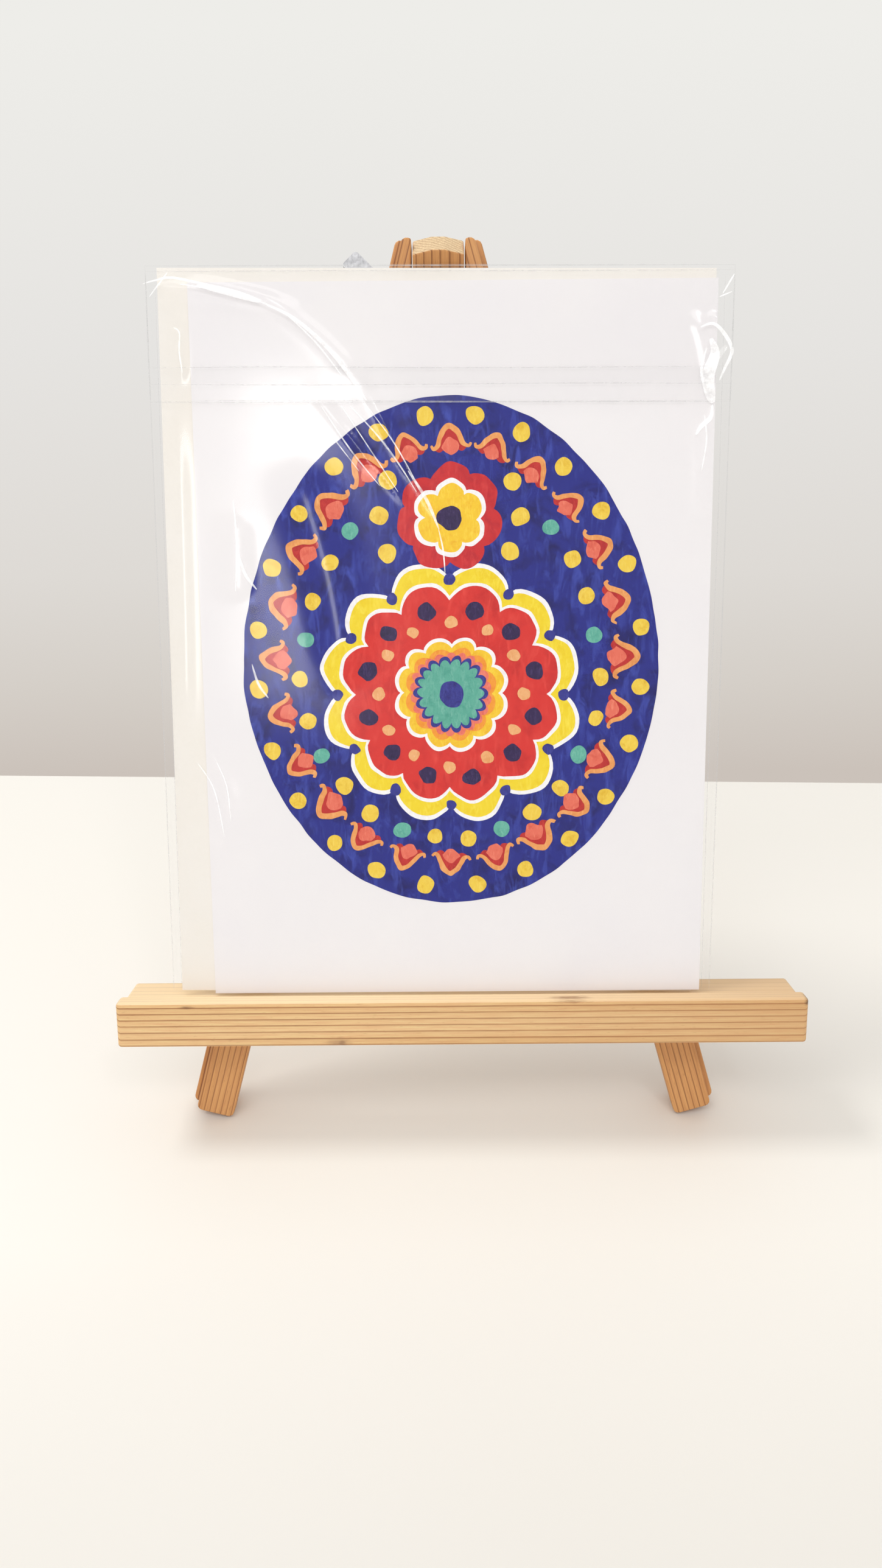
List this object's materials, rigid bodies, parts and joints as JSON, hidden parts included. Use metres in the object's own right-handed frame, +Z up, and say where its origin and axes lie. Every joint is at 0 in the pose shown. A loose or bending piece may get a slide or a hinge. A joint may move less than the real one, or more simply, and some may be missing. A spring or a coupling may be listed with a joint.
{
  "type": "greeting card on tabletop easel",
  "caption": "Folded card printed with a painted pysanka egg, with its envelope in a clear sleeve, standing on a small folding wooden tripod easel.",
  "frame": {"origin": "bottom centre of the bounding box, on the surface the three feet stand on", "axes": "+X along the ledge to the viewer's right, +Y away from the viewer, +Z up; the card faces -Y"},
  "size_m": [0.1786, 0.1279, 0.2242],
  "materials": {
    "leg_wood": "bare, satin",
    "ledge_wood": "bare, satin",
    "zinc_steel": "zinc plated",
    "cardstock": "smooth white",
    "egg_ink": "printed, satin",
    "envelope_paper": "cream, matt",
    "clear_film": "clear, glossy",
    "adhesive": "clear, tacky"
  },
  "bodies": {
    "easel": {"left_leg_front_strip": "leg_wood", "left_leg_rear_strip": "leg_wood", "right_leg_front_strip": "leg_wood", "right_leg_rear_strip": "leg_wood", "ledge_lip": "ledge_wood", "ledge_shelf": "ledge_wood", "ledge_screw_left": "zinc_steel", "ledge_screw_right": "zinc_steel", "pivot_bolt": "zinc_steel", "washer_left": "zinc_steel", "washer_right": "zinc_steel"},
    "strut": {"rear_leg": "leg_wood"},
    "nut": {"wing_nut": "zinc_steel"},
    "pack": {"sleeve_front_panel": "clear_film", "sleeve_rear_panel": "clear_film", "greeting_card": "cardstock", "egg_print": "egg_ink", "envelope_body": "envelope_paper", "envelope_flap": "envelope_paper"},
    "flap": {"sleeve_flap": "clear_film", "adhesive_strip": "adhesive"}
  },
  "joints": [
    {"name": "rear_leg_fold", "type": "hinge", "parent": "easel", "child": "strut", "pos_m": [-0.0045, -0.00113, 0.21185], "axis": [-1, 0, 0], "range_deg": [0, 28]},
    {"name": "wing_nut_turn", "type": "hinge", "parent": "easel", "child": "nut", "pos_m": [-0.0173, -0.00113, 0.21185], "axis": [-1, 0, 0], "range_deg": [-50, 30]},
    {"name": "card_lift", "type": "slide", "parent": "easel", "child": "pack", "axis": [0, -0.3907, 0.9205], "range_m": [0, 0.05]},
    {"name": "flap_open", "type": "hinge", "parent": "pack", "child": "flap", "pos_m": [-0.00409, -0.01062, 0.21825], "axis": [-1, 0.0015, 0.0059], "range_deg": [0, 170]}
  ]
}
